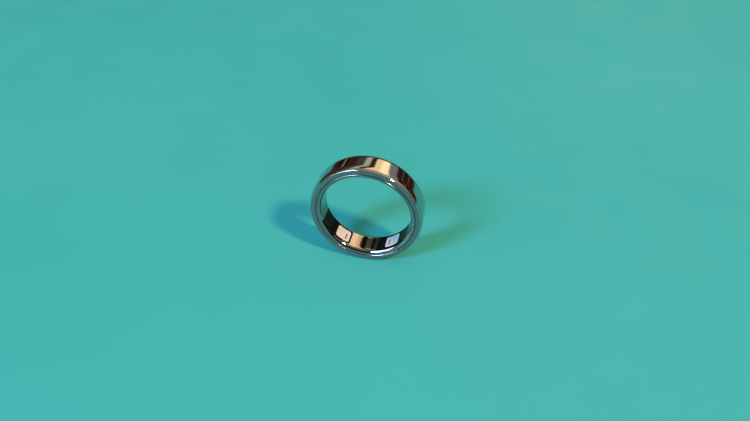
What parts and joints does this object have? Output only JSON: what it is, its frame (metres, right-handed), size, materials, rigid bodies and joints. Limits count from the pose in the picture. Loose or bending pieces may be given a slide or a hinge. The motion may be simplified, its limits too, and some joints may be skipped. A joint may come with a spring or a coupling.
{
  "type": "smart ring",
  "caption": "Polished metal finger ring with a mirror-coated liner, sensor windows on the palm side, and sealed board, battery and coil.",
  "frame": {"origin": "middle of the bore, halfway across the band", "axes": "Y along the finger's axis, +Z towards the back of the hand, -Z to the palm side with the sensor windows"},
  "size_m": [0.0258, 0.006, 0.0258],
  "materials": {
    "polished_metal": "mirror polished",
    "mirror_liner": "mirror coated",
    "dark_sealant": "satin",
    "dark_window": "gloss",
    "milky_window": "gloss",
    "black_plastic": "matt",
    "board_green": "solder mask",
    "chip_black": "matt",
    "gilt_metal": "plated",
    "tan_ceramic": "fired",
    "grey_ferrite": "matt",
    "diode_blue": "gloss",
    "emitter_green": "clear cap",
    "emitter_red": "clear cap",
    "white_ceramic": "fired",
    "soft_pad": "soft",
    "cell_foil": "foil",
    "tab_nickel": "rolled",
    "amber_film": "film",
    "copper": "bare",
    "white_plastic": "moulded",
    "clear_resin": "cast"
  },
  "bodies": {
    "root": {"outer_shell": "polished_metal", "inner_liner": "mirror_liner", "front_seam_bead": "dark_sealant", "rear_seam_bead": "dark_sealant", "left_window": "milky_window", "centre_window": "dark_window", "right_window": "milky_window", "light_baffles": "black_plastic", "circuit_board": "board_green", "processor_chip": "chip_black", "memory_chip": "chip_black", "sensor_front_end": "chip_black", "motion_sensor": "chip_black", "power_chip": "chip_black", "protection_chip": "chip_black", "timing_crystal": "gilt_metal", "ceramic_capacitors": "tan_ceramic", "power_inductors": "grey_ferrite", "photodiodes": "diode_blue", "green_emitters": "emitter_green", "red_infrared_emitters": "emitter_red", "skin_temperature_sensor": "white_ceramic", "thermal_pad": "soft_pad", "battery_cell": "cell_foil", "battery_tabs": "tab_nickel", "battery_pad": "soft_pad", "coil_film": "amber_film", "charging_coil": "copper", "coil_leads": "copper", "ferrite_sheet": "grey_ferrite", "antenna_carrier": "white_plastic", "radio_antenna": "gilt_metal", "antenna_feed": "gilt_metal", "resin_fill": "clear_resin"}
  },
  "joints": []
}
